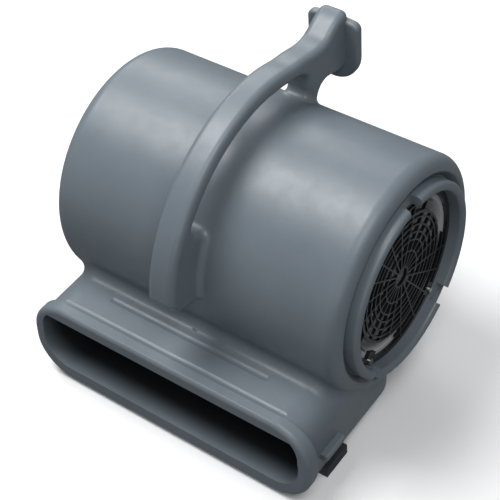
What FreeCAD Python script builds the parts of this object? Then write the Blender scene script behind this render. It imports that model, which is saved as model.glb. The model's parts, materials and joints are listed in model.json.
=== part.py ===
import FreeCAD, Part
import math
import os

V = FreeCAD.Vector
os.makedirs("parts", exist_ok=True)

# Air mover. X runs along the drum axis, the outlet faces -Y, Z is up, sizes in mm.
# Everything is built about the drum axis and then set on the floor, centred in Y.

# ---- drum and inlet collars ----
DRUM_R = 158.0
DRUM_HALF = 215.0
SHOULDER_R = 18.0
WALL = 5.0
AXIS_HEIGHT = 207.0
COLLAR_R = 131.0
COLLAR_BORE_R = 118.0
COLLAR_END = 227.0
COLLAR_ROUND = 6.0
COLLAR_SEAT = 207.0
VALLEY_FLOOR = 1.5
VALLEY_ROUND = 3.0
LEDGE_FACE = 202.0
LEDGE_T = 5.0
LEDGE_BORE_R = 107.0
NOTCH_ANGLES = [90.0, 229.0, 309.0]
NOTCH_W = 24.0
NOTCH_DEPTH = 15.0

# ---- outlet and base ----
FOOT_DROP = 3.0
MOUTH_Y = -232.0
MOUTH_LEAN = 3.4
LIP_HALF = 220.0
LIP_DEPTH = 24.0
LIP_CORNER = 56.0
LIP_ROUND = 7.0
NOZZLE_TOP = -76.0
BODY_HALF = 208.0
BODY_TOP_R = 44.0
BODY_FOOT_R = 28.0
MOUTH_HALF = 204.0
MOUTH_TOP = -95.0
MOUTH_BOTTOM = -181.0
MOUTH_CORNER = 40.0
DUCT_TOP = -84.0
RAMP_START_Y = -112.0
BASE_WIDE_END_Y = -10.0
BASE_CORNER = 30.0
CREASE_R = 14.0
BASE_REAR_HALF = 158.0
BASE_REAR_Y = 108.0
BASE_REAR_CORNER = 26.0
BASE_SKIN = 6.0
GROOVE_R = 8.0
GROOVE_DEPTH = 1.5
PIP_R = 5.0
PIP_H = 1.6

# ---- side lugs and feet ----
LUG_Y = [-186.0, -146.0]
LUG_Z = [-159.0, -149.0]
LUG_OUT = 219.0
LUG_ROUND = 4.0
FOOT_Y = [-177.0, -131.0]
FOOT_X = [166.0, 211.0]
FOOT_LIP_TOP = -190.0
FOOT_LIP_X = 199.0
REAR_FOOT_X = 128.0
REAR_FOOT_Y = 78.0
REAR_FOOT_R = 17.0
FOOT_SEAT = 5.0
FOOT_SCREW_R = 2.5

# ---- handle and cord-wrap plate ----
HANDLE_W = 38.0
HANDLE_EDGE_R = 9.0
HANDLE_FLARE_R = 9.0
CREST_R = 212.0
GRIP_T = 22.0
CREST_START = 172.0
CREST_END = 74.0
GAP_FRONT = 146.0
PLATE_Y = [173.0, 185.0]
PLATE_HALF = 38.0
PLATE_Z = [106.0, 201.0]
PLATE_ROUND = 4.0
PLATE_CROWN = 3.0
PLATE_TOP_R = 10.0
PLATE_FOOT_H = 42.0

# ---- wheel ----
WHEEL_R = 104.0
WHEEL_IN_R = 87.0
WHEEL_HALF = 148.0
BLADES = 38
BLADE_T = 1.0
BLADE_CURVE_R = 13.0
RING_T = 2.0
RING_RIM = 9.0
CENTRE_T = 2.0
HUB_R = 14.0
HUB_FLANGE_R = 25.0
HUB_SPIGOT_R = 10.3
HUB_LEN = 34.0
SET_SCREW_R = 2.5

# ---- motor ----
SHAFT_R = 6.35
MOTOR_R = 64.0
CAN_T = 2.0
CAN_X = [-150.0, -52.0]
BELL_T = 12.0
STATOR_IN_R = 37.0
ROTOR_R = 36.4
CORE_X = [-130.0, -72.0]
WINDING_OVER = 9.0
BEARING_R = 16.0
BEARING_T = 11.0
SHAFT_CLEAR = 0.05
STUD_PCD_R = 52.0
STUD_R = 2.5
GROMMET_R = 9.0
GROMMET_T = 5.0
GROMMET_NECK_R = 6.0
GROMMET_LIP = 2.0
NUT_R = 4.75
NUT_T = 4.0
MOUNT_T = 3.0
MOUNT_ANGLES = [30.0, 150.0, 270.0]
MOUNT_HUB_R = [40.0, 66.0]
MOUNT_RISER_R = 80.0
MOUNT_DISH = 16.0
MOUNT_SCREW_HEAD_T = 2.2
MOUNT_TO_GUARD = 2.6
MOUNT_ARM_W = 22.0
MOUNT_SCREW_R = 2.4
MOUNT_HOLE_R = 112.5

# ---- inlet rings and guards ----
FLANGE_T = 2.0
FLANGE_R = 116.5
THROAT_R = 81.0
THROAT_X = 157.0
CONE_T = 2.0
RING_FIT = 1.0
GUARD_T = 5.0
GUARD_R = 116.0
GUARD_RIM = 6.0
HUB_RING_R = 13.6
SECOND_RING_R = 35.0
RING_RADII = [50.0, 60.0, 70.0, 80.0]
RIB_W = 2.2
SPOKES = 20
WINDOW_ANGLES = [20.0, 130.0, 238.0]
WINDOW_HALF_ANGLE = 25.0
WINDOW_R = [86.0, 110.0]
GUARD_SCREW_R = 2.4
GUARD_SCREW_AT = 112.5
HOLE_CLEAR = 0.1

# ---- control plate on the rear of the base ----
PANEL_HALF_W = 64.0
PANEL_Z = [-192.0, -142.0]
PANEL_T = 3.0
KNOB_X = -30.0
KNOB_R = 17.0
KNOB_H = 16.0
KNOB_GAP = 0.6
SPINDLE_R = 3.0
SPINDLE_CLEAR = 0.05
SWITCH_W = 34.0
SWITCH_H = 30.0
SWITCH_D = 24.0
BOX_HALF_W = 52.0
BOX_HALF_H = 20.0
BOX_DEPTH = 37.0
BOX_T = 2.0
BOX_FIT = 0.5
CAP_R = 12.5
CAP_X = [-2.0, 48.0]
CAP_GAP = 1.5
STRAP_T = 1.2
STRAP_W = 12.0
GLAND_X = 30.0
GLAND_R = 12.0
GLAND_HOLE_R = 5.0

BASE_Z = -AXIS_HEIGHT + FOOT_DROP
FLOOR_Z = -AXIS_HEIGHT


def box(x0, x1, y0, y1, z0, z1):
    return Part.makeBox(x1 - x0, y1 - y0, z1 - z0, V(x0, y0, z0))


def cyl_x(r, x0, x1, y=0.0, z=0.0):
    return Part.makeCylinder(r, x1 - x0, V(x0, y, z), V(1, 0, 0))


def tube_x(r_out, r_in, x0, x1, y=0.0, z=0.0):
    return cyl_x(r_out, x0, x1, y, z).cut(cyl_x(r_in, x0 - 1, x1 + 1, y, z))


def spun(points):
    """Solid of revolution about the X axis from (x, radius) points."""
    wire = Part.makePolygon([V(x, 0, r) for x, r in points + points[:1]])
    return Part.Face(wire).revolve(V(0, 0, 0), V(1, 0, 0), 360)


def extruded_x(points, half):
    """Side outline of (y, z) points, extruded across the width."""
    wire = Part.makePolygon([V(-half, y, z) for y, z in points + points[:1]])
    return Part.Face(wire).extrude(V(2 * half, 0, 0))


def polar(r, deg):
    a = math.radians(deg)
    return V(0, r * math.cos(a), r * math.sin(a))


def at_angle(shape, deg):
    """Turns a shape built at angle 0 (towards +Y) round the drum axis."""
    turned = shape.copy()
    turned.rotate(V(0, 0, 0), V(1, 0, 0), deg)
    return turned


def mirrored(shape):
    return shape.mirror(V(0, 0, 0), V(1, 0, 0))


def joined(shapes):
    return shapes[0].multiFuse(shapes[1:]).removeSplitter()


def rounded_bar(half, z0, z1, y0, y1, r_top, r_foot):
    """Bar along Y with a rounded-rectangle section."""
    bar = box(-half, half, y0, y1, z0, z1)
    top = [e for e in long_edges(bar) if e.CenterOfMass.z > (z0 + z1) / 2]
    foot = [e for e in long_edges(bar) if e.CenterOfMass.z < (z0 + z1) / 2]
    if abs(r_top - r_foot) < 1e-6:
        return bar.makeFillet(r_top, top + foot)
    bar = bar.makeFillet(r_top, top)
    foot = [e for e in long_edges(bar) if e.CenterOfMass.z < z0 + 0.1]
    return bar.makeFillet(r_foot, foot)


def long_edges(shape):
    found = []
    for e in shape.Edges:
        d = e.Vertexes[-1].Point - e.Vertexes[0].Point
        if d.Length > 1 and abs(d.y) > 0.999 * d.Length:
            found.append(e)
    return found


def end_edges(shape, half):
    """Circular edges at both ends of a cylinder that runs along X."""
    return [e for e in shape.Edges if abs(abs(e.CenterOfMass.x) - half) < 0.1 and e.Length > 100]


def drum_body():
    """Drum with rounded shoulders that fall into a valley round each collar."""
    drum = cyl_x(DRUM_R, -DRUM_HALF, DRUM_HALF)
    drum = drum.makeFillet(SHOULDER_R, end_edges(drum, DRUM_HALF))
    crest = DRUM_R - SHOULDER_R
    valley = spun([(COLLAR_SEAT, 0), (COLLAR_SEAT, COLLAR_R + VALLEY_FLOOR), (DRUM_HALF, crest),
                   (DRUM_HALF + 1, crest), (DRUM_HALF + 1, 0)])
    drum = drum.cut(valley).cut(mirrored(valley))
    edges = [e for e in drum.Edges if abs(abs(e.CenterOfMass.x) - DRUM_HALF) < 0.1]
    return drum.makeFillet(VALLEY_ROUND, edges)


def collar(sign):
    """Round-topped ring about an inlet, seated in the valley, with notches through its rim."""
    ring = tube_x(COLLAR_R, COLLAR_BORE_R, COLLAR_SEAT, COLLAR_END)
    rim = [e for e in ring.Edges if abs(e.CenterOfMass.x - COLLAR_END) < 0.1]
    ring = ring.makeFillet(COLLAR_ROUND, rim)
    for deg in NOTCH_ANGLES:
        cut = box(COLLAR_END - NOTCH_DEPTH, COLLAR_END + 5, COLLAR_BORE_R - 8, COLLAR_R + 20,
                  -NOTCH_W / 2, NOTCH_W / 2)
        ring = ring.cut(at_angle(cut, deg))
    return ring if sign > 0 else mirrored(ring)


def lip():
    bar = rounded_bar(LIP_HALF, BASE_Z, NOZZLE_TOP, MOUTH_Y, MOUTH_Y + LIP_DEPTH + 8,
                      LIP_CORNER, LIP_CORNER)
    hinge = V(0, MOUTH_Y, BASE_Z)
    front = box(-300, 300, MOUTH_Y - 60, MOUTH_Y, BASE_Z - 60, NOZZLE_TOP + 60)
    front.rotate(hinge, V(1, 0, 0), -MOUTH_LEAN)
    back = box(-300, 300, MOUTH_Y + LIP_DEPTH, MOUTH_Y + 90, BASE_Z - 60, NOZZLE_TOP + 60)
    back.rotate(hinge, V(1, 0, 0), -MOUTH_LEAN)
    bar = bar.cut(front)
    bar = bar.cut(back)
    across = [e for e in bar.Edges if e not in long_edges(bar)]
    return bar.makeFillet(LIP_ROUND, across)


def upright_edges(shape, y):
    """Vertical edges of a block at its rear face."""
    found = []
    for e in shape.Edges:
        d = e.Vertexes[-1].Point - e.Vertexes[0].Point
        if abs(e.CenterOfMass.y - y) < 0.1 and abs(d.z) > 0.99 * d.Length and d.Length > 20:
            found.append(e)
    return found


def base_body():
    front = box(-BODY_HALF, BODY_HALF, MOUTH_Y + LIP_DEPTH / 2, BASE_WIDE_END_Y, BASE_Z, NOZZLE_TOP)
    front = front.makeFillet(BASE_CORNER, upright_edges(front, BASE_WIDE_END_Y))
    top = [e for e in long_edges(front) if e.CenterOfMass.z > NOZZLE_TOP - 1]
    front = front.makeFillet(BODY_TOP_R, top)
    foot = [e for e in long_edges(front) if e.CenterOfMass.z < BASE_Z + 1]
    front = front.makeFillet(BODY_FOOT_R, foot)
    rear = box(-BASE_REAR_HALF, BASE_REAR_HALF, -60, BASE_REAR_Y, BASE_Z, -90)
    rear = rear.makeFillet(BASE_REAR_CORNER, upright_edges(rear, BASE_REAR_Y))
    return [front, rear]


def nozzle_crease(body):
    """The long edge where the top of the nozzle meets the drum."""
    found = []
    for e in body.Edges:
        c = e.CenterOfMass
        if abs(c.z - NOZZLE_TOP) < 0.1 and abs(math.hypot(c.y, c.z) - DRUM_R) < 0.1 and e.Length > 100:
            found.append(e)
    return found


def duct_cavity():
    side = extruded_x([(MOUTH_Y - 20, MOUTH_BOTTOM), (RAMP_START_Y, MOUTH_BOTTOM),
                       (-20, -DRUM_R + WALL), (-20, -60), (-100, DUCT_TOP),
                       (MOUTH_Y + LIP_DEPTH, DUCT_TOP),
                       (MOUTH_Y + LIP_DEPTH - 8, MOUTH_TOP), (MOUTH_Y - 20, MOUTH_TOP)],
                      MOUTH_HALF)
    inner_half = BODY_HALF - WALL
    tube = rounded_bar(inner_half, MOUTH_BOTTOM, DUCT_TOP, MOUTH_Y - 30, 0.0,
                       MOUTH_CORNER - 3, MOUTH_CORNER - 3)
    mouth = rounded_bar(MOUTH_HALF, MOUTH_BOTTOM, MOUTH_TOP, MOUTH_Y - 30,
                        MOUTH_Y + LIP_DEPTH - 6, MOUTH_CORNER, MOUTH_CORNER)
    return side.common(tube).fuse(mouth)


def drum_cavity():
    inner = DRUM_HALF - WALL
    hollow = cyl_x(DRUM_R - WALL, -inner, inner)
    hollow = hollow.makeFillet(SHOULDER_R - WALL, end_edges(hollow, inner))
    ledge_back = LEDGE_FACE - LEDGE_T
    plug = spun([(ledge_back, 0), (ledge_back, COLLAR_R - 4), (COLLAR_SEAT - WALL, COLLAR_R + VALLEY_FLOOR),
                 (inner, DRUM_R - SHOULDER_R), (inner + 20, DRUM_R - SHOULDER_R), (inner + 20, 0)])
    return hollow.cut(plug).cut(mirrored(plug))


def under_recess():
    floor_top = MOUTH_BOTTOM - BASE_SKIN
    half = BODY_HALF - BODY_FOOT_R - 4
    front = box(-half, half, MOUTH_Y + LIP_DEPTH + 6, BASE_WIDE_END_Y - 12,
                BASE_Z - 1, floor_top)
    rear = box(-BASE_REAR_HALF + 8, BASE_REAR_HALF - 8, BASE_WIDE_END_Y - 14,
               BASE_REAR_Y - 6, BASE_Z - 1, -96)
    hollow = front.fuse(rear)
    hollow = hollow.cut(cyl_x(DRUM_R, -300, 300))
    keep = []
    for sx in (-1, 1):
        x0, x1 = sorted((sx * (FOOT_X[0] - 6), sx * BODY_HALF))
        keep.append(box(x0, x1, FOOT_Y[0] - 8, FOOT_Y[1] + 8, BASE_Z - 2, -180))
        keep.append(Part.makeCylinder(REAR_FOOT_R + 5, 60, V(sx * REAR_FOOT_X, REAR_FOOT_Y, BASE_Z)))
    for k in keep:
        hollow = hollow.cut(k)
    return hollow


def top_grooves():
    cuts = []
    for y, half in ((-204.0, 172.0), (-170.0, 120.0)):
        z = NOZZLE_TOP + GROOVE_R - GROOVE_DEPTH
        bar = cyl_x(GROOVE_R, -half, half, y, z)
        ends = [Part.makeSphere(GROOVE_R, V(-half, y, z)), Part.makeSphere(GROOVE_R, V(half, y, z))]
        cuts.append(joined([bar] + ends))
    return cuts


def side_lug(sign):
    lug = box(BODY_HALF - 8, LUG_OUT, LUG_Y[0], LUG_Y[1], LUG_Z[0], LUG_Z[1])
    edges = [e for e in lug.Edges if e.CenterOfMass.x > LUG_OUT - 0.1]
    lug = lug.makeFillet(LUG_ROUND, edges)
    return lug if sign > 0 else mirrored(lug)


def foot_shape(sign, grow):
    """Front foot: a pad under the base with a lip turned up outside it."""
    pad = box(FOOT_X[0] - grow, FOOT_X[1], FOOT_Y[0] - grow, FOOT_Y[1] + grow,
              FLOOR_Z, BASE_Z + FOOT_SEAT)
    tip = box(FOOT_LIP_X, FOOT_X[1], FOOT_Y[0] - grow, FOOT_Y[1] + grow, FLOOR_Z, FOOT_LIP_TOP)
    foot = pad.fuse(tip)
    return foot if sign > 0 else mirrored(foot)


def feet():
    out = []
    for sign in (1, -1):
        foot = foot_shape(sign, 0.0)
        x_mid = sign * (FOOT_X[0] + 20)
        y_mid = (FOOT_Y[0] + FOOT_Y[1]) / 2
        foot = foot.cut(screw_pocket(x_mid, y_mid))
        rear = Part.makeCylinder(REAR_FOOT_R, FOOT_DROP + FOOT_SEAT,
                                 V(sign * REAR_FOOT_X, REAR_FOOT_Y, FLOOR_Z))
        rear = rear.cut(screw_pocket(sign * REAR_FOOT_X, REAR_FOOT_Y))
        out += [foot, rear]
    return out


def screw_pocket(x, y):
    hole = Part.makeCylinder(FOOT_SCREW_R + HOLE_CLEAR, 30, V(x, y, FLOOR_Z - 1))
    head = Part.makeCylinder(FOOT_SCREW_R * 2 + 0.6, 4.5, V(x, y, FLOOR_Z - 1))
    return hole.fuse(head)


def foot_screw(x, y):
    head = Part.makeCylinder(FOOT_SCREW_R * 2, 2.5, V(x, y, FLOOR_Z + 1.0))
    shank = Part.makeCylinder(FOOT_SCREW_R, 16, V(x, y, FLOOR_Z + 2))
    slot = box(x - 3.5, x + 3.5, y - 0.5, y + 0.5, FLOOR_Z, FLOOR_Z + 1.8)
    return head.fuse(shank).cut(slot)


def foot_screw_places():
    y_mid = (FOOT_Y[0] + FOOT_Y[1]) / 2
    places = [(s * (FOOT_X[0] + 20), y_mid) for s in (1, -1)]
    return places + [(s * REAR_FOOT_X, REAR_FOOT_Y) for s in (1, -1)]


def guard_screw_hole(r, deg, x0, x1):
    return at_angle(cyl_x(r, x0, x1, GUARD_SCREW_AT, 0), deg)


def housing():
    shell = joined([drum_body()] + base_body())
    shell = shell.makeFillet(CREASE_R, nozzle_crease(shell))
    body = joined([shell, lip(), side_lug(1), side_lug(-1)])
    pip = Part.makeCylinder(PIP_R, PIP_H + 3, V(0, -152, NOZZLE_TOP - 3))
    body = body.fuse(pip)
    body = body.cut(drum_cavity())
    body = body.cut(duct_cavity())
    body = body.cut(under_recess())
    for sign in (1, -1):
        x0, x1 = sorted((sign * LEDGE_FACE, sign * (COLLAR_END + 9)))
        body = body.cut(cyl_x(COLLAR_BORE_R, x0, x1))
        x0, x1 = sorted((sign * COLLAR_SEAT, sign * (COLLAR_END + 9)))
        body = body.cut(cyl_x(COLLAR_R, x0, x1))
        x0, x1 = sorted((sign * (LEDGE_FACE - 20), sign * (LEDGE_FACE + 9)))
        body = body.cut(cyl_x(LEDGE_BORE_R, x0, x1))
        body = body.cut(foot_shape(sign, 0.0))
        for deg in NOTCH_ANGLES:
            hole = guard_screw_hole(GUARD_SCREW_R + HOLE_CLEAR, deg, LEDGE_FACE - 9, LEDGE_FACE + 1)
            body = body.cut(hole if sign > 0 else mirrored(hole))
        rear = Part.makeCylinder(REAR_FOOT_R, FOOT_SEAT + 1,
                                 V(sign * REAR_FOOT_X, REAR_FOOT_Y, BASE_Z - 1))
        body = body.cut(rear)
    for x, y in foot_screw_places():
        body = body.cut(Part.makeCylinder(FOOT_SCREW_R + HOLE_CLEAR, 24, V(x, y, FLOOR_Z)))
    for deg in MOUNT_ANGLES:
        hole = at_angle(cyl_x(MOUNT_SCREW_R + HOLE_CLEAR, -LEDGE_FACE - 1, -LEDGE_FACE + 9,
                              MOUNT_HOLE_R, 0), deg)
        body = body.cut(hole)
    for groove in top_grooves():
        body = body.cut(groove)
    window = BOX_HALF_W + BOX_FIT
    body = body.cut(box(-window, window, BASE_REAR_Y - 9, BASE_REAR_Y + 1,
                        panel_mid() - BOX_HALF_H - BOX_FIT, panel_mid() + BOX_HALF_H + BOX_FIT))
    for x, z in panel_screw_places():
        body = body.cut(Part.makeCylinder(2.0 + HOLE_CLEAR, 12, V(x, BASE_REAR_Y - 11, z), V(0, 1, 0)))
    return body.removeSplitter()


def panel_mid():
    return (PANEL_Z[0] + PANEL_Z[1]) / 2


def panel_screw_places():
    dx = PANEL_HALF_W - 7
    return [(x, z) for x in (-dx, dx) for z in (PANEL_Z[0] + 7, PANEL_Z[1] - 7)]


def arc(r, a0, a1):
    mid = (a0 + a1) / 2
    return Part.Arc(polar(r, a0), polar(r, mid), polar(r, a1)).toShape()


def curve_through(points, start=None, end=None):
    """Smooth (y, z) curve; two points with end tangents make a single cubic."""
    if len(points) == 2:
        (y0, z0), (y1, z1) = points
        poles = [V(0, y0, z0), V(0, y0 + start[0] / 3, z0 + start[1] / 3),
                 V(0, y1 - end[0] / 3, z1 - end[1] / 3), V(0, y1, z1)]
        bezier = Part.BezierCurve()
        bezier.setPoles(poles)
        return bezier.toShape()
    spline = Part.BSplineCurve()
    pts = [V(0, y, z) for y, z in points]
    if start is None:
        spline.interpolate(pts)
    else:
        spline.interpolate(Points=pts, InitialTangent=V(0, *start), FinalTangent=V(0, *end))
    return spline.toShape()


def handle_outline():
    """Side view of the arch: tip, crest, sweep up to the plate, and rear post."""
    a, b = polar(CREST_R, CREST_START), polar(CREST_R, CREST_END)
    end_y = PLATE_Y[1] - 1.0
    tip_in = (-146.0, -4.0)
    nose = curve_through([tip_in, (-178.0, -1.5), (-196.0, 6.0), (-206.0, 18.0), (a.y, a.z)],
                         (-1.0, 0.0), (0.12, 1.0))
    crest = arc(CREST_R, CREST_START, CREST_END)
    slope = math.radians(CREST_END - 90)
    sweep = curve_through([(b.y, b.z), (84, 199.5), (113, 193.5), (135, 195), (155, 206), (end_y, 213.5)],
                          (math.cos(slope), math.sin(slope)), (1.0, 0.12))
    down = Part.makeLine(V(0, end_y, 213.5), V(0, end_y, 129))
    post_out = curve_through([(end_y, 129), (157, 130), (135, 136), (120, 133), (113, 121), (117, 104)],
                             (-1.0, -0.05), (0.35, -1.0))
    under = Part.makeLine(V(0, 117, 104), V(0, -120, -22))
    close = Part.makeLine(V(0, -120, -22), V(0, *tip_in))
    return Part.Face(Part.Wire([nose, crest, sweep, down, post_out, under, close]))


def grip_gap():
    """The finger gap between the arch and the drum."""
    r_in = CREST_R - GRIP_T
    a = polar(r_in, GAP_FRONT - 4)
    b = polar(r_in, 80)
    front = polar(DRUM_R - 14, GAP_FRONT)
    top = arc(r_in, GAP_FRONT - 4, 80)
    slope = math.radians(80 - 90)
    rise = curve_through([(b.y, b.z), (60, 182), (79, 176), (89, 166), (91.5, 150), (91, 128), (84, 112)],
                         (math.cos(slope), math.sin(slope)), (-0.4, -1.0))
    low = curve_through([(84, 112), (0, DRUM_R - 20), (front.y, front.z)])
    lean = math.radians(GAP_FRONT - 4)
    saddle = curve_through([(front.y, front.z), (a.y, a.z)], (-60.0, 42.0),
                           (60.0 * math.sin(lean), -60.0 * math.cos(lean)))
    return Part.Face(Part.Wire([saddle, top, rise, low]))


def handle():
    half = HANDLE_W / 2
    bar = handle_outline()
    bar.translate(V(-half, 0, 0))
    bar = bar.extrude(V(HANDLE_W, 0, 0))
    gap = grip_gap()
    gap.translate(V(-half - 5, 0, 0))
    gap = gap.extrude(V(HANDLE_W + 10, 0, 0))
    bar = bar.cut(gap.fuse(cyl_x(DRUM_R - 8, -60, 60)))
    bar = bar.makeFillet(HANDLE_EDGE_R, handle_edges(bar, half))
    bar = bar.fuse(cyl_x(DRUM_R, -2 * HANDLE_W, 2 * HANDLE_W))
    bar = bar.makeFillet(HANDLE_FLARE_R, drum_joint_edges(bar))
    bar = bar.cut(cyl_x(DRUM_R, -3 * HANDLE_W, 3 * HANDLE_W))
    return bar.fuse(wrap_plate()).removeSplitter()


def drum_joint_edges(bar):
    """Edges where the arch meets the drum."""
    found = []
    for e in bar.Edges:
        span = e.LastParameter - e.FirstParameter
        spots = [e.valueAt(e.FirstParameter + span * k) for k in (0.1, 0.3, 0.5, 0.7, 0.9)]
        if all(abs(math.hypot(q.y, q.z) - DRUM_R) < 0.2 and abs(q.x) < HANDLE_W for q in spots):
            found.append(e)
    return found


def handle_edges(bar, half):
    """Side edges of the arch, without those against the drum or inside the plate."""
    found = []
    for e in bar.Edges:
        c = e.CenterOfMass
        span = e.LastParameter - e.FirstParameter
        spots = [e.valueAt(e.FirstParameter + span * k) for k in (0.25, 0.5, 0.75)]
        on_drum = all(abs(math.hypot(q.y, q.z) - DRUM_R + 8) < 0.5 for q in spots)
        if abs(abs(c.x) - half) < 0.01 and not on_drum:
            found.append(e)
        if abs(c.x) < 0.01 and c.z > PLATE_Z[1]:
            found.append(e)
    return found


def wrap_plate():
    """Shield-shaped plate that the cord winds under."""
    z0, z1 = PLATE_Z
    y0, y1 = PLATE_Y
    w = PLATE_HALF
    side = z1 - PLATE_CROWN
    low = z0 + PLATE_FOOT_H
    left = Part.makeLine(V(-w, y0, low), V(-w, y0, side))
    crown = Part.Arc(V(-w, y0, side), V(0, y0, z1), V(w, y0, side)).toShape()
    right = Part.makeLine(V(w, y0, side), V(w, y0, low))
    oval = Part.Ellipse(V(0, y0, z0), V(w, y0, low), V(0, y0, low))
    foot = oval.toShape(-math.pi / 2, math.pi / 2)
    rim = Part.Wire(Part.__sortEdges__([left, crown, right, foot]))
    plate = Part.Face(rim).extrude(V(0, y1 - y0, 0))
    corners = [e for e in long_edges(plate) if abs(e.CenterOfMass.z - side) < 0.1]
    plate = plate.makeFillet(PLATE_TOP_R, corners)
    rims = [e for e in plate.Edges if abs(e.CenterOfMass.y - y0) < 0.01
            or abs(e.CenterOfMass.y - y1) < 0.01]
    return plate.makeFillet(PLATE_ROUND, rims)


def inlet_ring(sign):
    x = LEDGE_FACE
    top = LEDGE_BORE_R - RING_FIT
    flange = tube_x(FLANGE_R, top - CONE_T, x, x + FLANGE_T)
    steps = 10
    outer, inner = [], []
    for i in range(steps + 1):
        t = math.radians(90.0 * i / steps)
        px = x + FLANGE_T - (x + FLANGE_T - THROAT_X) * math.sin(t)
        pr = THROAT_R + (top - THROAT_R) * (1 - math.sin(t)) ** 0.9
        inner.append((px, pr - CONE_T))
        outer.append((px, pr))
    cone = spun(inner + outer[::-1])
    ring = flange.fuse(cone)
    for deg in NOTCH_ANGLES:
        ring = ring.cut(guard_screw_hole(GUARD_SCREW_R + HOLE_CLEAR, deg, x - 1, x + 5))
    if sign < 0:
        ring = mirrored(ring)
        for deg in MOUNT_ANGLES:
            ring = ring.cut(at_angle(cyl_x(MOUNT_SCREW_R + HOLE_CLEAR, -x - 5, -x + 1,
                                           MOUNT_HOLE_R, 0), deg))
    return ring


def guard_back(sign):
    """How far out a guard sits; the left one stands clear of the motor mount."""
    return LEDGE_FACE + FLANGE_T + (MOUNT_T + MOUNT_TO_GUARD if sign < 0 else 0.0)


def guard(sign):
    x0 = guard_back(sign)
    x1 = x0 + GUARD_T
    ribs = [tube_x(GUARD_R, GUARD_R - GUARD_RIM, x0, x1)]
    for r in [HUB_RING_R, SECOND_RING_R] + RING_RADII:
        ribs.append(tube_x(r + RIB_W / 2, r - RIB_W / 2, x0 + 1, x1))
    ribs.append(tube_x(WINDOW_R[0] + 3, WINDOW_R[0] - 1, x0, x1))
    ribs.append(tube_x((WINDOW_R[0] + GUARD_R) / 2 + RIB_W / 2,
                       (WINDOW_R[0] + GUARD_R) / 2 - RIB_W / 2, x0 + 1, x1))
    for i in range(SPOKES):
        spoke = box(x0 + 0.5, x1, HUB_RING_R - 1, GUARD_R - 2, -RIB_W / 2, RIB_W / 2)
        ribs.append(at_angle(spoke, 90 + 360.0 * i / SPOKES))
    body = joined(ribs)
    for deg in WINDOW_ANGLES:
        body = body.cut(sector(WINDOW_R[0] + 2, WINDOW_R[1] - 0.5, deg, x0 - 1, x1 + 1))
    tabs = []
    for deg in NOTCH_ANGLES:
        tab = box(LEDGE_FACE + FLANGE_T, x1, GUARD_R - 16, GUARD_R - 1, -9, 9)
        tabs.append(at_angle(tab, deg))
    body = joined([body] + tabs)
    for deg in NOTCH_ANGLES:
        body = body.cut(guard_screw_hole(GUARD_SCREW_R + HOLE_CLEAR, deg, LEDGE_FACE, x1 + 1))
    return body if sign > 0 else mirrored(body)


def sector(r0, r1, deg, x0, x1):
    """Part of a ring between two radii, WINDOW_HALF_ANGLE each way from deg."""
    h = math.radians(WINDOW_HALF_ANGLE)
    far = r1 * 1.4
    wedge = Part.makePolygon([V(x0, 0, 0), V(x0, far * math.cos(h), -far * math.sin(h)),
                              V(x0, far * math.cos(h), far * math.sin(h)), V(x0, 0, 0)])
    wedge = Part.Face(wedge).extrude(V(x1 - x0, 0, 0))
    return at_angle(wedge.common(tube_x(r1, r0, x0, x1)), deg)


def guard_screws():
    out = []
    for sign in (1, -1):
        x1 = guard_back(sign) + GUARD_T
        for deg in NOTCH_ANGLES:
            shank = cyl_x(GUARD_SCREW_R, LEDGE_FACE - 8, x1 + 0.5, GUARD_SCREW_AT, 0)
            head = cyl_x(GUARD_SCREW_R * 1.7, x1, x1 + 2.6, GUARD_SCREW_AT, 0)
            slot = box(x1 + 1.6, x1 + 4, GUARD_SCREW_AT - 3, GUARD_SCREW_AT + 3, -0.5, 0.5)
            screw = at_angle(shank.fuse(head).cut(slot), deg)
            out.append(screw if sign > 0 else mirrored(screw))
    return out


def mount_face():
    """Outer face of the mount's hub, dished in towards the motor."""
    return -LEDGE_FACE - FLANGE_T - MOUNT_T + MOUNT_DISH


def motor_mount():
    x1 = -LEDGE_FACE - FLANGE_T
    x0 = x1 - MOUNT_T
    h0 = mount_face()
    h1 = h0 + MOUNT_T
    half = MOUNT_ARM_W / 2
    plate = tube_x(MOUNT_HUB_R[1], MOUNT_HUB_R[0], h0, h1)
    arms = []
    for deg in MOUNT_ANGLES:
        inner = box(h0, h1, MOUNT_HUB_R[1] - 4, MOUNT_RISER_R, -half, half)
        riser = box(x0, h1, MOUNT_RISER_R - MOUNT_T, MOUNT_RISER_R, -half, half)
        outer = box(x0, x1, MOUNT_RISER_R - MOUNT_T, FLANGE_R - 1, -half, half)
        arms.append(at_angle(joined([inner, riser, outer]), deg))
    plate = joined([plate] + arms)
    for deg in MOUNT_ANGLES:
        plate = plate.cut(at_angle(cyl_x(MOUNT_SCREW_R + HOLE_CLEAR, x0 - 1, x1 + 1,
                                         MOUNT_HOLE_R, 0), deg))
        plate = plate.cut(at_angle(cyl_x(GROMMET_NECK_R, h0 - 1, h1 + 1, STUD_PCD_R, 0), deg))
    return plate


def mount_screws():
    out = []
    x0 = -LEDGE_FACE - FLANGE_T - MOUNT_T
    for deg in MOUNT_ANGLES:
        shank = cyl_x(MOUNT_SCREW_R, x0 - 0.5, -LEDGE_FACE + 8, MOUNT_HOLE_R, 0)
        head = cyl_x(MOUNT_SCREW_R * 1.8, x0 - MOUNT_SCREW_HEAD_T, x0, MOUNT_HOLE_R, 0)
        out.append(at_angle(shank.fuse(head), deg))
    return out


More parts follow.
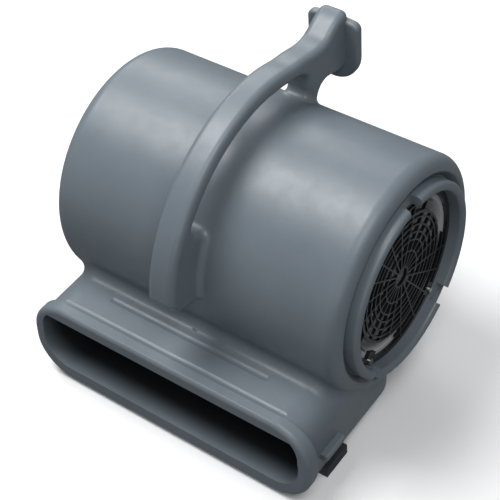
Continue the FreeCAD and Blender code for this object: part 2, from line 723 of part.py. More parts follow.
def grommets():
    x0 = mount_face()
    x1 = x0 + MOUNT_T
    out = []
    for deg in MOUNT_ANGLES:
        body = cyl_x(GROMMET_R, x1, x1 + GROMMET_T, STUD_PCD_R, 0)
        neck = cyl_x(GROMMET_NECK_R, x0, x1, STUD_PCD_R, 0)
        face = cyl_x(GROMMET_R, x0 - GROMMET_LIP, x0, STUD_PCD_R, 0)
        hole = cyl_x(STUD_R, x0 - 9, x1 + 9, STUD_PCD_R, 0)
        out.append(at_angle(joined([body, neck, face]).cut(hole), deg))
    return out


def motor_studs():
    """Long bolts that clamp the motor and hang it from the mount."""
    outer_face = mount_face() - GROMMET_LIP
    inner_face = mount_face() + MOUNT_T + GROMMET_T
    head_face = CAN_X[1] + BELL_T
    out = []
    for deg in MOUNT_ANGLES:
        rod = cyl_x(STUD_R, outer_face - NUT_T - 2, head_face + 1, STUD_PCD_R, 0)
        nut = cyl_x(NUT_R, outer_face - NUT_T, outer_face, STUD_PCD_R, 0)
        inner_nut = cyl_x(NUT_R, inner_face, inner_face + NUT_T, STUD_PCD_R, 0)
        head = cyl_x(NUT_R, head_face, head_face + NUT_T, STUD_PCD_R, 0)
        out.append(at_angle(joined([rod, nut, inner_nut, head]), deg))
    return out


def motor_can():
    can = tube_x(MOTOR_R, MOTOR_R - CAN_T, CAN_X[0], CAN_X[1])
    slots = []
    for deg in range(0, 360, 30):
        slots.append(at_angle(box(CAN_X[0] + 9, CAN_X[0] + 20, 50, 80, -5, 5), deg + 15))
    for slot in slots:
        can = can.cut(slot)
    return can


def end_bell(at_x, outward):
    """End bell with a bearing boss, spigoted against the end of the can."""
    x0, x1 = sorted((at_x, at_x + outward * BELL_T))
    disc = cyl_x(MOTOR_R, x0, x1)
    outer = [e for e in disc.Edges if abs(e.CenterOfMass.x - (at_x + outward * BELL_T)) < 0.1]
    disc = disc.makeFillet(6.0, outer)
    h0, h1 = sorted((at_x - outward * 1, at_x + outward * (BELL_T - 3.5)))
    disc = disc.cut(tube_x(MOTOR_R - 18, BEARING_R + 4, h0, h1))
    b0, b1 = sorted((at_x - outward * 1, at_x + outward * BEARING_T))
    disc = disc.cut(cyl_x(BEARING_R, b0, b1))
    disc = disc.cut(cyl_x(SHAFT_R + 1, at_x - 20, at_x + 20))
    vents = [at_angle(box(at_x - 20, at_x + 20, 26, 40, -4, 4), d) for d in range(0, 360, 30)]
    for vent in vents:
        disc = disc.cut(vent)
    for deg in MOUNT_ANGLES:
        disc = disc.cut(at_angle(cyl_x(STUD_R, at_x - 20, at_x + 20, STUD_PCD_R, 0), deg))
    return disc


def bearing(at_x, outward):
    x0, x1 = sorted((at_x, at_x + outward * BEARING_T))
    return tube_x(BEARING_R, SHAFT_R + SHAFT_CLEAR, x0, x1)


def stator():
    core = tube_x(MOTOR_R - CAN_T, STATOR_IN_R, CORE_X[0], CORE_X[1])
    for deg in MOUNT_ANGLES:
        core = core.cut(at_angle(cyl_x(STUD_R + 0.4, CORE_X[0] - 1, CORE_X[1] + 1, STUD_PCD_R, 0), deg))
    return core


def windings():
    out = []
    for x, way in ((CORE_X[0], -1), (CORE_X[1], 1)):
        x0, x1 = sorted((x, x + way * WINDING_OVER))
        out.append(tube_x(STATOR_IN_R + 11, STATOR_IN_R + 2, x0, x1))
    return out


def rotor_core():
    return tube_x(ROTOR_R, SHAFT_R, CORE_X[0], CORE_X[1])


def motor_shaft():
    tail = CAN_X[0] - BELL_T - 3
    rod = cyl_x(SHAFT_R, tail, HUB_LEN + 4)
    return rod.makeFillet(0.8, [e for e in rod.Edges if abs(e.CenterOfMass.x - HUB_LEN - 4) < 0.1])


def wheel_centre():
    disc = tube_x(WHEEL_R, HUB_SPIGOT_R, -CENTRE_T / 2, CENTRE_T / 2)
    rim = tube_x(WHEEL_R + 1.2, WHEEL_R, -5, 5)
    return disc.fuse(rim)


def wheel_hub():
    barrel = cyl_x(HUB_R, CENTRE_T / 2, HUB_LEN)
    flange = cyl_x(HUB_FLANGE_R, CENTRE_T / 2, CENTRE_T / 2 + 4)
    spigot = cyl_x(HUB_SPIGOT_R, -CENTRE_T / 2, CENTRE_T)
    hub = joined([barrel, flange, spigot]).cut(cyl_x(SHAFT_R, -9, HUB_LEN + 9))
    return hub.cut(Part.makeCylinder(SET_SCREW_R, 40, V(HUB_LEN - 8, 0, 0), V(0, 0, 1)))


def set_screw():
    return Part.makeCylinder(SET_SCREW_R, HUB_R - SHAFT_R + 0.8, V(HUB_LEN - 8, 0, SHAFT_R), V(0, 0, 1))


def wheel_rings():
    out = []
    for sign in (1, -1):
        face = tube_x(WHEEL_R, WHEEL_IN_R, WHEEL_HALF - RING_T, WHEEL_HALF)
        rim = tube_x(WHEEL_R + 1.2, WHEEL_R, WHEEL_HALF - RING_RIM, WHEEL_HALF)
        ring = face.fuse(rim)
        out.append(ring if sign > 0 else mirrored(ring))
    return out


def blade_face():
    """Section of one forward-curved blade, spanning the blade ring."""
    r_mid = (WHEEL_R + WHEEL_IN_R) / 2
    depth = (WHEEL_R - WHEEL_IN_R) / 2 - 0.6
    t = BLADE_T
    a, m, b = V(0, r_mid - depth, 0), V(0, r_mid, 3.6), V(0, r_mid + depth, 0.0)
    a2, m2, b2 = V(0, r_mid - depth, -t), V(0, r_mid, 3.6 - t), V(0, r_mid + depth, -t)
    top = Part.Arc(a, m, b).toShape()
    low = Part.Arc(b2, m2, a2).toShape()
    return Part.Face(Part.Wire([top, Part.makeLine(b, b2), low, Part.makeLine(a2, a)]))


def wheel_blades():
    out = []
    for i in range(BLADES):
        for x0, x1 in ((CENTRE_T / 2, WHEEL_HALF - RING_T), (-WHEEL_HALF + RING_T, -CENTRE_T / 2)):
            face = blade_face()
            face.translate(V(x0, 0, 0))
            out.append(at_angle(face.extrude(V(x1 - x0, 0, 0)), 360.0 * i / BLADES))
    return out


def box_back():
    return BASE_REAR_Y - BOX_DEPTH


def control_box():
    """Tray behind the control plate that holds the switch and the capacitor."""
    z0, z1 = panel_mid() - BOX_HALF_H, panel_mid() + BOX_HALF_H
    outer = box(-BOX_HALF_W, BOX_HALF_W, box_back(), BASE_REAR_Y, z0, z1)
    inner = box(-BOX_HALF_W + BOX_T, BOX_HALF_W - BOX_T, box_back() + BOX_T, BASE_REAR_Y + 1,
                z0 + BOX_T, z1 - BOX_T)
    return outer.cut(inner)


def capacitor_axis_y():
    return box_back() + BOX_T + CAP_GAP + CAP_R


def capacitor():
    return cyl_x(CAP_R, CAP_X[0], CAP_X[1], capacitor_axis_y(), panel_mid())


def capacitor_strap():
    mid = (CAP_X[0] + CAP_X[1]) / 2
    x0, x1 = mid - STRAP_W / 2, mid + STRAP_W / 2
    y = capacitor_axis_y()
    band = tube_x(CAP_R + STRAP_T, CAP_R, x0, x1, y, panel_mid())
    foot = box(x0, x1, box_back() + BOX_T, y, panel_mid() - CAP_R - 4, panel_mid() + CAP_R + 4)
    foot = foot.common(box(x0, x1, 0, box_back() + BOX_T + STRAP_T, -300, 300))
    foot = foot.cut(cyl_x(CAP_R, x0 - 1, x1 + 1, y, panel_mid()))
    return band.fuse(foot)


def control_plate():
    y0 = BASE_REAR_Y
    plate = box(-PANEL_HALF_W, PANEL_HALF_W, y0, y0 + PANEL_T, PANEL_Z[0], PANEL_Z[1])
    uprights = [e for e in plate.Edges if abs(e.Length - PANEL_T) < 0.01]
    plate = plate.makeFillet(6.0, uprights)
    spindle = Part.makeCylinder(SPINDLE_R + 1.5, 20, V(KNOB_X, y0 - 9, panel_mid()), V(0, 1, 0))
    gland = Part.makeCylinder(GLAND_R - 4 + HOLE_CLEAR, 20, V(GLAND_X, y0 - 9, panel_mid()), V(0, 1, 0))
    plate = plate.cut(spindle).cut(gland)
    for x, z in panel_screw_places():
        plate = plate.cut(Part.makeCylinder(2.0 + HOLE_CLEAR, 20, V(x, y0 - 9, z), V(0, 1, 0)))
    return plate


def plate_screws():
    out = []
    y = BASE_REAR_Y + PANEL_T
    for x, z in panel_screw_places():
        shank = Part.makeCylinder(2.0, 13, V(x, y - 12.5, z), V(0, 1, 0))
        head = Part.makeCylinder(3.8, 2.0, V(x, y, z), V(0, 1, 0))
        out.append(shank.fuse(head))
    return out


def switch_body():
    y1 = BASE_REAR_Y
    block = box(KNOB_X - SWITCH_W / 2, KNOB_X + SWITCH_W / 2, y1 - SWITCH_D, y1,
                panel_mid() - SWITCH_H / 2, panel_mid() + SWITCH_H / 2)
    hole = Part.makeCylinder(SPINDLE_R + SPINDLE_CLEAR, 14, V(KNOB_X, y1 - 12, panel_mid()), V(0, 1, 0))
    return block.cut(hole)


def speed_knob():
    y0 = BASE_REAR_Y + PANEL_T + KNOB_GAP
    skirt = Part.makeCylinder(KNOB_R, 5.0, V(KNOB_X, y0, panel_mid()), V(0, 1, 0))
    grip = box(KNOB_X - 4.5, KNOB_X + 4.5, y0 + 4, y0 + KNOB_H, panel_mid() - KNOB_R + 1.5,
               panel_mid() + KNOB_R - 1.5)
    tops = [e for e in grip.Edges if e.CenterOfMass.y > y0 + KNOB_H - 0.1]
    grip = grip.makeFillet(2.0, tops)
    spindle = Part.makeCylinder(SPINDLE_R, KNOB_GAP + PANEL_T + 9.0,
                                V(KNOB_X, y0 - KNOB_GAP - PANEL_T - 8.5, panel_mid()), V(0, 1, 0))
    return joined([skirt, grip, spindle])


def cord_gland():
    y0 = BASE_REAR_Y + PANEL_T
    z = panel_mid()
    stem = Part.makeCylinder(GLAND_R - 4, 8, V(GLAND_X, y0 - 7, z), V(0, 1, 0))
    flange = Part.makeCylinder(GLAND_R, 4, V(GLAND_X, y0, z), V(0, 1, 0))
    nose = Part.makeCone(GLAND_R - 2.5, GLAND_HOLE_R + 2.5, 12, V(GLAND_X, y0 + 4, z), V(0, 1, 0))
    hole = Part.makeCylinder(GLAND_HOLE_R, 80, V(GLAND_X, y0 - 40, z), V(0, 1, 0))
    return joined([stem, flange, nose]).cut(hole)


def group(shapes):
    return Part.makeCompound(shapes)


def build_all():
    nodes = {
        "housing": housing(),
        "handle": handle(),
        "collar_right": collar(1),
        "collar_left": collar(-1),
        "inlet_ring_right": inlet_ring(1),
        "inlet_ring_left": inlet_ring(-1),
        "guard_right": guard(1),
        "guard_left": guard(-1),
        "guard_screws": group(guard_screws()),
        "motor_mount": motor_mount(),
        "mount_screws": group(mount_screws()),
        "mount_grommets": group(grommets()),
        "motor_studs": group(motor_studs()),
        "motor_can": motor_can(),
        "motor_bell_tail": end_bell(CAN_X[0], -1),
        "motor_bell_drive": end_bell(CAN_X[1], 1),
        "bearing_tail": bearing(CAN_X[0], -1),
        "bearing_drive": bearing(CAN_X[1], 1),
        "stator_core": stator(),
        "stator_windings": group(windings()),
        "rotor_core": rotor_core(),
        "motor_shaft": motor_shaft(),
        "control_box": control_box(),
        "run_capacitor": capacitor(),
        "capacitor_strap": capacitor_strap(),
        "wheel_centre_plate": wheel_centre(),
        "wheel_hub": wheel_hub(),
        "wheel_set_screw": set_screw(),
        "wheel_end_rings": group(wheel_rings()),
        "wheel_blades": group(wheel_blades()),
        "rubber_feet": group(feet()),
        "foot_screws": group([foot_screw(x, y) for x, y in foot_screw_places()]),
        "control_plate": control_plate(),
        "plate_screws": group(plate_screws()),
        "switch_body": switch_body(),
        "speed_knob": speed_knob(),
        "cord_gland": cord_gland(),
    }
    return nodes


def place(shape, y_shift):
    shape.translate(V(0, y_shift, AXIS_HEIGHT))
    return shape


def main():
    nodes = build_all()
    front = nodes["housing"].optimalBoundingBox(False, False).YMin
    back = nodes["handle"].optimalBoundingBox(False, False).YMax
    y_shift = -(front + back) / 2
    print("axis_y", round(y_shift, 4))
    for name, shape in nodes.items():
        place(shape, y_shift).exportStep("parts/" + name + ".step")


main()
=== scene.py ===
"""Looks of the drum-type air mover: finishes, softened pieces, dial marks, floor, lights and camera."""

import json
import math

import bmesh
import bpy
from mathutils import Matrix, Vector

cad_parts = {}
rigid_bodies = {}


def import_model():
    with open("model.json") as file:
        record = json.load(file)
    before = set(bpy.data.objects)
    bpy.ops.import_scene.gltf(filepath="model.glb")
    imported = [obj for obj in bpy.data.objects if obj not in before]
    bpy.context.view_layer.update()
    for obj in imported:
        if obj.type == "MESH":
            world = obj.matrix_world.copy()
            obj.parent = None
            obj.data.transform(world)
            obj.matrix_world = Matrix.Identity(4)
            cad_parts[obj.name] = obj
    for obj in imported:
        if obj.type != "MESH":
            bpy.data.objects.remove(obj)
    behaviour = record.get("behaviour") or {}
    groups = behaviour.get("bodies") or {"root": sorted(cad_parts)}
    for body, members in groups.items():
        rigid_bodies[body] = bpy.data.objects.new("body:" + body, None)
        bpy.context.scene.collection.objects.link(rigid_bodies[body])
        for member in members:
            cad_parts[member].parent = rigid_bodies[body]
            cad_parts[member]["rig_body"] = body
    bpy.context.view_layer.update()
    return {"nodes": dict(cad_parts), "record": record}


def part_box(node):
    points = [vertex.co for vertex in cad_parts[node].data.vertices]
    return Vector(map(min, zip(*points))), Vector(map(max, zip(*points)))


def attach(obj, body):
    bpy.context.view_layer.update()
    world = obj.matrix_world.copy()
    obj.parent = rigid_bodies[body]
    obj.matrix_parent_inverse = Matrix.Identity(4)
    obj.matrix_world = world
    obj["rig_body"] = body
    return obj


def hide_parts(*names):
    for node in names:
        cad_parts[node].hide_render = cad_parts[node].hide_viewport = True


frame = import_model()
NODES = frame["nodes"]

DRUM_LOW, DRUM_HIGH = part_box("wheel_end_rings")
AXIS_Y = (DRUM_LOW.y + DRUM_HIGH.y) / 2
AXIS_Z = (DRUM_LOW.z + DRUM_HIGH.z) / 2

DUCT_HALF = 0.2045
DUCT_HIGH = 0.0985
DUCT_CORNER = 0.0400
DUCT_MIDDLE_Z = AXIS_Z - 0.1323
DUCT_MOUTH_Y = AXIS_Y - 0.2280
DUCT_FADE = 0.030
DUCT_END_Y = AXIS_Y - 0.030


# ---------------------------------------------------------------- finishes

PATCH_EDGES = (0.35, 0.65)
GLOSS_PER_PATCH = 6.0
NOISE_LOW = 0.3
NOISE_HIGH = 0.7
SCUFF_STRETCH = (90.0, 260.0, 260.0)
SCUFF_EDGES = (0.62, 0.80)
SCUFF_AMOUNT = 0.10

class Finish:
    """A node material under construction: one Principled shader with object coordinates."""

    def __init__(self, name):
        self.material = bpy.data.materials.new(name)
        self.material.use_nodes = True
        self.nodes = self.material.node_tree.nodes
        self.links = self.material.node_tree.links
        self.nodes.clear()
        self.output = self.nodes.new("ShaderNodeOutputMaterial")
        self.shader = self.nodes.new("ShaderNodeBsdfPrincipled")
        self.link(self.shader, "BSDF", self.output, "Surface")
        self.coords = self.nodes.new("ShaderNodeTexCoord")

    def link(self, source, output, target, socket):
        self.links.new(source.outputs[output], target.inputs[socket])

    def set(self, **values):
        for socket, value in values.items():
            self.shader.inputs[socket.replace("_", " ")].default_value = value
        return self

    def mapped(self, scale=(1, 1, 1), shift=(0, 0, 0), turn=(0, 0, 0)):
        mapping = self.nodes.new("ShaderNodeMapping")
        mapping.inputs["Scale"].default_value = scale
        mapping.inputs["Location"].default_value = shift
        mapping.inputs["Rotation"].default_value = turn
        self.link(self.coords, "Object", mapping, "Vector")
        return mapping

    def noise(self, scale, detail=3.0, roughness=0.5, mapping=None):
        texture = self.nodes.new("ShaderNodeTexNoise")
        texture.inputs["Scale"].default_value = scale
        texture.inputs["Detail"].default_value = detail
        texture.inputs["Roughness"].default_value = roughness
        if mapping is None:
            self.link(self.coords, "Object", texture, "Vector")
        else:
            self.link(mapping, "Vector", texture, "Vector")
        return texture

    def ramp(self, source, output, stops):
        stops = list(stops)
        ramp = self.nodes.new("ShaderNodeValToRGB")
        elements = ramp.color_ramp.elements
        while len(elements) < len(stops):
            elements.new(0.5)
        for element, (position, colour) in zip(elements, stops):
            element.position = position
            element.color = colour
        self.link(source, output, ramp, "Fac")
        return ramp

    def span(self, source, output, low, high, new_low, new_high):
        remap = self.nodes.new("ShaderNodeMapRange")
        remap.inputs["From Min"].default_value = low
        remap.inputs["From Max"].default_value = high
        remap.inputs["To Min"].default_value = new_low
        remap.inputs["To Max"].default_value = new_high
        self.link(source, output, remap, "Value")
        return remap

    def roughness_from(self, source, output, low, high):
        remap = self.span(source, output, NOISE_LOW, NOISE_HIGH, low, high)
        self.link(remap, "Result", self.shader, "Roughness")

    def bump(self, source, output, strength, distance, onto=None):
        bump = self.nodes.new("ShaderNodeBump")
        bump.inputs["Strength"].default_value = strength
        bump.inputs["Distance"].default_value = distance
        self.link(source, output, bump, "Height")
        if onto is not None:
            self.link(onto, "Normal", bump, "Normal")
        self.link(bump, "Normal", self.shader, "Normal")
        return bump


def grey(value, alpha=1.0):
    return (value, value, value, alpha)


def tone(red, green, blue):
    return (red, green, blue, 1.0)


def mottled(name, dark, light, patch, rough_low, rough_high, grain, depth, metallic=0.0, strength=0.5):
    """A finish with soft colour patches, uneven gloss and a fine surface grain."""
    finish = Finish(name)
    patches = finish.noise(patch, 4.0, 0.55)
    colour = finish.ramp(patches, "Fac", zip(PATCH_EDGES, (dark, light)))
    finish.link(colour, "Color", finish.shader, "Base Color")
    finish.roughness_from(finish.noise(patch * GLOSS_PER_PATCH, 5.0, 0.6), "Fac", rough_low, rough_high)
    finish.bump(finish.noise(grain, 3.0, 0.55), "Fac", strength, depth)
    finish.set(Metallic=metallic)
    return finish


def vector_step(finish, operation, source, values=None):
    step = finish.nodes.new("ShaderNodeVectorMath")
    step.operation = operation
    finish.links.new(source.outputs[0], step.inputs[0])
    if values is not None:
        step.inputs[1].default_value = values
    return step


def painted_duct_shade_mask(finish):
    """Mask of the painted shade inside the outlet duct: inside its rounded outline, between mouth and end."""
    centred = finish.mapped((1.0, 0.0, 1.0), (0.0, 0.0, -DUCT_MIDDLE_Z))
    folded = vector_step(finish, "ABSOLUTE", centred)
    core = (DUCT_HALF - DUCT_CORNER, 0.0, DUCT_HIGH / 2 - DUCT_CORNER)
    past_core = vector_step(finish, "SUBTRACT", folded, core)
    from_core = vector_step(finish, "MAXIMUM", past_core, (0.0, 0.0, 0.0))
    distance = vector_step(finish, "LENGTH", from_core)
    within = finish.nodes.new("ShaderNodeMath")
    within.operation = "LESS_THAN"
    within.inputs[1].default_value = DUCT_CORNER
    finish.link(distance, "Value", within, 0)
    split = finish.nodes.new("ShaderNodeSeparateXYZ")
    finish.link(finish.coords, "Object", split, "Vector")
    fade = finish.span(split, "Y", DUCT_MOUTH_Y, DUCT_MOUTH_Y + DUCT_FADE, 0.0, 1.0)
    end = finish.span(split, "Y", DUCT_END_Y, DUCT_END_Y + DUCT_FADE, 1.0, 0.0)
    inside = finish.nodes.new("ShaderNodeMath")
    inside.operation = "MULTIPLY"
    finish.link(within, 0, inside, 0)
    finish.link(end, "Result", inside, 1)
    mask = finish.nodes.new("ShaderNodeMath")
    mask.operation = "MULTIPLY"
    finish.link(inside, 0, mask, 0)
    finish.link(fade, "Result", mask, 1)
    return mask


def moulded_polyethylene():
    """Rotomoulded body plastic: orange-peel skin over slow ripples, faint scuffs, painted shade inside the
    outlet duct.
    """
    finish = Finish("moulded_polyethylene")
    patches = finish.noise(9.0, 5.0, 0.6)
    skin = finish.ramp(patches, "Fac", [(0.30, tone(0.122, 0.147, 0.169)), (0.70, tone(0.140, 0.167, 0.190))])
    scuffs = finish.noise(1.0, 6.0, 0.7, finish.mapped(SCUFF_STRETCH))
    scuffed = finish.ramp(scuffs, "Fac", zip(SCUFF_EDGES, (grey(0.0), grey(SCUFF_AMOUNT))))
    worn = finish.nodes.new("ShaderNodeMix")
    worn.data_type = "RGBA"
    worn.inputs["B"].default_value = tone(0.30, 0.33, 0.36)
    finish.link(scuffed, "Color", worn, "Factor")
    finish.links.new(skin.outputs["Color"], worn.inputs["A"])
    duct_shade_mix = finish.nodes.new("ShaderNodeMix")
    duct_shade_mix.data_type = "RGBA"
    # near-black colour painted inside the outlet duct as shade, not a colour of the plastic
    duct_shade_mix.inputs["B"].default_value = tone(0.020, 0.023, 0.027)
    finish.links.new(painted_duct_shade_mask(finish).outputs[0], duct_shade_mix.inputs["Factor"])
    finish.links.new(worn.outputs["Result"], duct_shade_mix.inputs["A"])
    finish.links.new(duct_shade_mix.outputs["Result"], finish.shader.inputs["Base Color"])
    finish.roughness_from(finish.noise(45.0, 6.0, 0.65), "Fac", 0.34, 0.46)
    ripple = finish.bump(finish.noise(38.0, 2.0, 0.5), "Fac", 0.35, 0.0006)
    finish.bump(finish.noise(620.0, 2.0, 0.6), "Fac", 0.30, 0.00018, onto=ripple)
    return finish


MATERIALS = {
    "moulded_housing": moulded_polyethylene(),
    "inlet_ring_plastic": mottled("inlet_ring_plastic", tone(0.42, 0.43, 0.43), tone(0.50, 0.51, 0.51),
                                  14.0, 0.42, 0.55, 700.0, 0.0001),
    "guard_plastic": mottled("guard_plastic", tone(0.006, 0.006, 0.007), tone(0.011, 0.011, 0.012),
                             20.0, 0.20, 0.30, 800.0, 0.00005),
    "zinc_steel": mottled("zinc_steel", tone(0.50, 0.52, 0.54), tone(0.66, 0.66, 0.64),
                          30.0, 0.22, 0.38, 900.0, 0.00005, metallic=1.0),
    "screw_steel": mottled("screw_steel", tone(0.46, 0.47, 0.48), tone(0.60, 0.60, 0.58),
                           90.0, 0.22, 0.35, 1500.0, 0.00004, metallic=1.0),
    "motor_paint": mottled("motor_paint", tone(0.012, 0.012, 0.013), tone(0.022, 0.022, 0.023),
                           25.0, 0.22, 0.34, 420.0, 0.0001),
    "bell_alloy": mottled("bell_alloy", tone(0.44, 0.45, 0.46), tone(0.58, 0.58, 0.59),
                          40.0, 0.38, 0.55, 1100.0, 0.0001, metallic=1.0),
    "lamination_steel": mottled("lamination_steel", tone(0.24, 0.24, 0.25), tone(0.36, 0.35, 0.35),
                                50.0, 0.34, 0.50, 1000.0, 0.0001, metallic=1.0),
    "copper_winding": mottled("copper_winding", tone(0.42, 0.13, 0.04), tone(0.60, 0.22, 0.08),
                              60.0, 0.22, 0.36, 900.0, 0.0002, metallic=1.0),
    "bright_steel": mottled("bright_steel", tone(0.56, 0.56, 0.57), tone(0.68, 0.68, 0.68),
                            60.0, 0.16, 0.26, 1400.0, 0.00003, metallic=1.0),
    "wheel_galvanised": mottled("wheel_galvanised", tone(0.46, 0.47, 0.48), tone(0.62, 0.63, 0.64),
                                45.0, 0.30, 0.46, 900.0, 0.00005, metallic=1.0),
    "black_rubber": mottled("black_rubber", tone(0.018, 0.018, 0.019), tone(0.030, 0.030, 0.031),
                            60.0, 0.62, 0.78, 1300.0, 0.0001),
    "foot_rubber": mottled("foot_rubber", tone(0.018, 0.020, 0.022), tone(0.030, 0.032, 0.034),
                           40.0, 0.58, 0.74, 1200.0, 0.0001),
    "panel_plastic": mottled("panel_plastic", tone(0.014, 0.014, 0.015), tone(0.020, 0.020, 0.021),
                             30.0, 0.42, 0.52, 900.0, 0.0002),
    "box_plastic": mottled("box_plastic", tone(0.020, 0.020, 0.021), tone(0.030, 0.030, 0.031),
                           30.0, 0.40, 0.52, 800.0, 0.0001),
    "capacitor_case": mottled("capacitor_case", tone(0.60, 0.61, 0.62), tone(0.72, 0.72, 0.73),
                              40.0, 0.24, 0.36, 1000.0, 0.00005, metallic=1.0),
}


SLOT_OF = {entry["node"]: entry["material_slot"] for entry in frame["record"]["subparts"]}


def dress_nodes():
    """Each CAD node takes the finish of its slot in the record."""
    for name, slot in SLOT_OF.items():
        NODES[name].data.materials.clear()
        NODES[name].data.materials.append(MATERIALS[slot].material)


# ---------------------------------------------------------------- pieces

MERGE_DISTANCE = 0.000002
FLAT_ANGLE = math.radians(0.6)
CREASE_ANGLE = math.radians(32)

# CAD node, new piece, width of the broken edge, segments across it
SOFTENED = (
    ("collar_right", "collar_ring_right", 0.0016, 3),
    ("collar_left", "collar_ring_left", 0.0016, 3),
    ("guard_right", "guard_grille_right", 0.0006, 2),
    ("guard_left", "guard_grille_left", 0.0006, 2),
    ("rubber_feet", "foot_pads", 0.0012, 2),
    ("control_plate", "control_panel", 0.0008, 2),
    ("speed_knob", "selector_knob", 0.0006, 2),
    ("cord_gland", "gland_body", 0.0006, 2),
)


def softened(name, new_name, width, segments):
    """A copy of a CAD node with its sharp edges broken, so that they catch the light."""
    node = NODES[name]
    shape = bmesh.new()
    shape.from_mesh(node.data)
    bmesh.ops.remove_doubles(shape, verts=shape.verts, dist=MERGE_DISTANCE)
    bmesh.ops.dissolve_limit(shape, angle_limit=FLAT_ANGLE, verts=shape.verts, edges=shape.edges,
                             use_dissolve_boundaries=False)
    mesh = bpy.data.meshes.new(new_name)
    shape.to_mesh(mesh)
    shape.free()
    mesh.materials.append(node.data.materials[0])
    piece = bpy.data.objects.new(new_name, mesh)
    bpy.context.scene.collection.objects.link(piece)
    for polygon in mesh.polygons:
        polygon.use_smooth = True
    mesh.set_sharp_from_angle(angle=CREASE_ANGLE)
    rounding = piece.modifiers.new("broken_edges", "BEVEL")
    rounding.limit_method = "ANGLE"
    rounding.angle_limit = CREASE_ANGLE
    rounding.width = width
    rounding.segments = segments
    rounding.harden_normals = True
    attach(piece, node["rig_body"])
    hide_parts(name)
    return piece


# ---------------------------------------------------------------- speed dial

DIAL_ANGLES = (0.0, 45.0, 90.0, 135.0)
DIAL_GAP = 0.0010
TICK_LONG = 0.0016
TICK_WIDE = 0.0007
PRINT_DEPTH = 0.00016
DIGIT_WIDE = 0.0015
DIGIT_HIGH = 0.0026
DIGIT_AWAY = 0.0024
STROKE = 0.00045

# strokes of each figure: both ends in half widths and half heights
FIGURES = (
    (((-1, -1), (1, -1)), ((1, -1), (1, 1)), ((1, 1), (-1, 1)), ((-1, 1), (-1, -1))),
    (((0, -1), (0, 1)), ((0, 1), (-1, 0.5))),
    (((-1, 1), (1, 1)), ((1, 1), (1, 0)), ((1, 0), (-1, 0)), ((-1, 0), (-1, -1)), ((-1, -1), (1, -1))),
    (((-1, 1), (1, 1)), ((1, 1), (1, -1)), ((1, -1), (-1, -1)), ((1, 0), (-0.4, 0))),
)


def printed_bar(shape, start, end, width, face_y):
    """A thin raised bar between two (x, z) points on the face of the control plate."""
    run = Vector((end[0] - start[0], 0.0, end[1] - start[1]))
    along = run.normalized()
    across = along.cross(Vector((0.0, 1.0, 0.0)))
    centre = Vector(((start[0] + end[0]) / 2, face_y, (start[1] + end[1]) / 2))
    turn = Matrix((along, Vector((0.0, 1.0, 0.0)), across)).transposed().to_4x4()
    turn.translation = centre
    size = Matrix.Diagonal((run.length + width, 2 * PRINT_DEPTH, width, 1.0))
    bmesh.ops.create_cube(shape, size=1.0, matrix=turn @ size)


def speed_dial():
    """Pad-printed marks round the knob: a tick and a figure at each of its four positions."""
    knob_low, knob_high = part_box("speed_knob")
    face_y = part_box("control_plate")[1].y
    middle_x = (knob_low.x + knob_high.x) / 2
    middle_z = (knob_low.z + knob_high.z) / 2
    duct_shade_mix = (knob_high.x - knob_low.x) / 2 + DIAL_GAP
    shape = bmesh.new()
    for angle, strokes in zip(DIAL_ANGLES, FIGURES):
        turn = math.radians(angle)
        out = (-math.sin(turn), math.cos(turn))
        near = (middle_x + duct_shade_mix * out[0], middle_z + duct_shade_mix * out[1])
        far = (near[0] + TICK_LONG * out[0], near[1] + TICK_LONG * out[1])
        printed_bar(shape, near, far, TICK_WIDE, face_y)
        centre = (far[0] + DIGIT_AWAY * out[0], far[1] + DIGIT_AWAY * out[1])
        for start, end in strokes:
            ends = [(centre[0] - x * DIGIT_WIDE / 2, centre[1] + z * DIGIT_HIGH / 2) for x, z in (start, end)]
            printed_bar(shape, ends[0], ends[1], STROKE, face_y)
    mesh = bpy.data.meshes.new("dial_marks")
    shape.to_mesh(mesh)
    shape.free()
    mesh.materials.append(mottled("dial_ink", tone(0.62, 0.62, 0.60), tone(0.70, 0.70, 0.68),
                                  60.0, 0.45, 0.55, 900.0, 0.00002).material)
    piece = bpy.data.objects.new("dial_marks", mesh)
    bpy.context.scene.collection.objects.link(piece)
    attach(piece, "frame")


# ---------------------------------------------------------------- studio

VIEW_FROM = Vector((0.798, AXIS_Y - 1.011, AXIS_Z + 1.2505))
VIEW_AZIMUTH = math.radians(39.13)
VIEW_ELEVATION = math.radians(45.58)
VIEW_ROLL = math.radians(-5.2)
LENS_MM = 100.53


BACKDROP = ((0.0, 0.0), (4.6, 0.0), (5.2, 0.12), (5.7, 0.45), (6.0, 1.0), (6.0, 5.0))
BACKDROP_STEPS = 64
WORLD_STRENGTH = 0.24

# light, place, width, height, power
SOFT_BOXES = (
    ("key_box", (-0.9, -0.2, 2.4), 1.3, 1.3, 54.0),
    ("rear_box", (-1.5, 1.7, 1.7), 1.4, 1.0, 20.0),
    ("side_box", (1.1, -0.6, 2.4), 1.4, 1.1, 26.0),
    ("front_box", (1.2, -2.3, 1.0), 1.4, 0.8, 5.0),
)


def camera_axes(azimuth, elevation, roll):
    """The camera's own right, up and back directions."""
    ahead = Vector((-math.sin(azimuth) * math.cos(elevation),
                    math.cos(azimuth) * math.cos(elevation),
                    -math.sin(elevation)))
    level_right = Vector((math.cos(azimuth), math.sin(azimuth), 0.0))
    level_up = level_right.cross(ahead)
    right = math.cos(roll) * level_right + math.sin(roll) * level_up
    up = -math.sin(roll) * level_right + math.cos(roll) * level_up
    return right, up, -ahead


def studio_camera():
    camera_data = bpy.data.cameras.new("studio_camera")
    camera_data.sensor_width = 36.0
    camera_data.lens = LENS_MM
    camera_data.clip_end = 50.0
    camera = bpy.data.objects.new("studio_camera", camera_data)
    right, up, back = camera_axes(VIEW_AZIMUTH, VIEW_ELEVATION, VIEW_ROLL)
    place = Matrix((right, up, back)).transposed().to_4x4()
    place.translation = VIEW_FROM
    camera.matrix_world = place
    bpy.context.scene.collection.objects.link(camera)
    bpy.context.scene.camera = camera


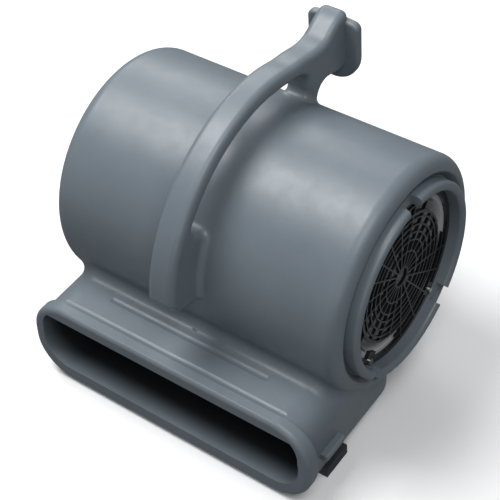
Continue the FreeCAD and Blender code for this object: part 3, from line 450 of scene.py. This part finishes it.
def studio_floor():
    """A pale floor that sweeps up into a round backdrop far behind the object."""
    shape = bmesh.new()
    corners = [shape.verts.new((radius, 0.0, height)) for radius, height in BACKDROP]
    edges = [shape.edges.new(pair) for pair in zip(corners, corners[1:])]
    bmesh.ops.spin(shape, geom=corners + edges, axis=(0, 0, 1), cent=(0, 0, 0),
                   angle=2 * math.pi, steps=BACKDROP_STEPS, use_merge=True)
    bmesh.ops.remove_doubles(shape, verts=shape.verts, dist=0.0001)
    bmesh.ops.recalc_face_normals(shape, faces=shape.faces)
    floor_mesh = bpy.data.meshes.new("studio_floor")
    shape.to_mesh(floor_mesh)
    shape.free()
    floor = bpy.data.objects.new("studio_floor", floor_mesh)
    bpy.context.scene.collection.objects.link(floor)
    floor.visible_diffuse = False
    floor.visible_glossy = False
    paint = Finish("floor_paint")
    paint.set(Base_Color=grey(0.93), Roughness=0.9)
    floor_mesh.materials.append(paint.material)


def soft_box(name, place, aim, width, height, power):
    light_data = bpy.data.lights.new(name, "AREA")
    light_data.shape = "RECTANGLE"
    light_data.size = width
    light_data.size_y = height
    light_data.energy = power
    light = bpy.data.objects.new(name, light_data)
    direction = Vector(aim) - Vector(place)
    turned = direction.to_track_quat("-Z", "Y").to_matrix().to_4x4()
    turned.translation = Vector(place)
    light.matrix_world = turned
    bpy.context.scene.collection.objects.link(light)


def studio_world():
    world = bpy.data.worlds.new("studio_world")
    world.use_nodes = True
    background = world.node_tree.nodes["Background"]
    background.inputs["Color"].default_value = tone(0.93, 0.97, 1.0)
    background.inputs["Strength"].default_value = WORLD_STRENGTH
    bpy.context.scene.world = world


def studio_lights():
    middle = (0.0, AXIS_Y, AXIS_Z)
    for name, place, width, height, power in SOFT_BOXES:
        soft_box(name, place, middle, width, height, power)


dress_nodes()
for node_name, piece_name, edge_width, edge_segments in SOFTENED:
    softened(node_name, piece_name, edge_width, edge_segments)
speed_dial()
studio_world()
studio_lights()
studio_floor()
studio_camera()
bpy.context.scene.view_settings.view_transform = "Standard"
